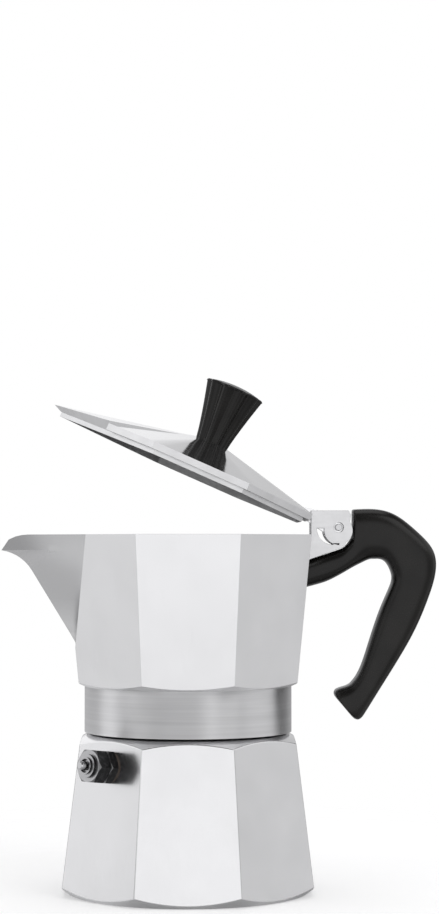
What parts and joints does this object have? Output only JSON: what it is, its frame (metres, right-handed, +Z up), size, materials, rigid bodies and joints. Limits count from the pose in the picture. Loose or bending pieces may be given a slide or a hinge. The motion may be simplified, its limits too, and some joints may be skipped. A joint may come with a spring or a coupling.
{
  "type": "stovetop coffee maker",
  "caption": "Eight-sided aluminium stovetop coffee maker that screws apart into boiler, funnel, seal, filter plate and spouted upper chamber with hinged lid.",
  "frame": {"origin": "middle of the boiler's flat base, on the surface it stands on", "axes": "+Z up along the pot's axis, -X towards the spout, +X towards the handle, -Y towards the viewer of the side with the spout on the left"},
  "size_m": [0.1526, 0.0868, 0.1796],
  "materials": {
    "cast_aluminium": "satin, turned bright on the round parts",
    "polished_aluminium": "mirror polished",
    "stamped_aluminium": "dull, as stamped",
    "valve_metal": "dark plated, worn bright on the faces",
    "steel": "bright",
    "fibre": "matte fibre",
    "seal_rubber": "matte pale grey",
    "black_plastic": "satin black"
  },
  "bodies": {
    "boiler": {"boiler": "cast_aluminium", "valve_body": "valve_metal", "valve_washer": "fibre", "valve_cap": "valve_metal", "valve_spring": "steel"},
    "relief_pin": {"valve_pin": "steel"},
    "funnel": {"funnel_basket": "stamped_aluminium", "funnel_stem": "stamped_aluminium", "funnel_screen": "stamped_aluminium"},
    "seal": {"gasket": "seal_rubber"},
    "plate": {"filter_plate": "stamped_aluminium"},
    "upper": {"upper_chamber": "cast_aluminium", "coffee_column": "cast_aluminium", "column_cap": "stamped_aluminium", "hinge_pin": "steel", "handle": "black_plastic", "handle_screw": "steel", "handle_washer": "steel"},
    "lid": {"lid": "polished_aluminium", "knob": "black_plastic", "knob_screw": "steel", "knob_washer": "steel"}
  },
  "joints": [
    {"name": "relief_pin_slide", "type": "slide", "parent": "boiler", "child": "relief_pin", "axis": [-0.702, -0.702, 0.1196], "range_m": [0, 0.0015], "stiffness_N_per_m": 1000, "springref_m": -0.003, "deforming": ["valve_spring"]},
    {"name": "funnel_lift", "type": "slide", "parent": "boiler", "child": "funnel", "axis": [0, 0, 1], "range_m": [0, 0.078]},
    {"name": "upper_rise", "type": "slide", "parent": "funnel", "child": "seal", "axis": [0, 0, 1], "range_m": [0, 0.00801]},
    {"name": "upper_turn", "type": "hinge", "parent": "seal", "child": "plate", "pos_m": [0, 0, 0.068], "axis": [0, 0, 1], "range_deg": [0, 1440]},
    {"name": "upper_lift", "type": "slide", "parent": "plate", "child": "upper", "axis": [0, 0, 1], "range_m": [0, 0.046]},
    {"name": "lid_hinge", "type": "hinge", "parent": "upper", "child": "lid", "pos_m": [0.0525, 0, 0.1267], "axis": [0, -1, 0], "range_deg": [-70, 23.9]}
  ],
  "couplings": [
    {"joint": "upper_rise", "follows": "upper_turn", "m_per_rad": 0.00031831}
  ]
}
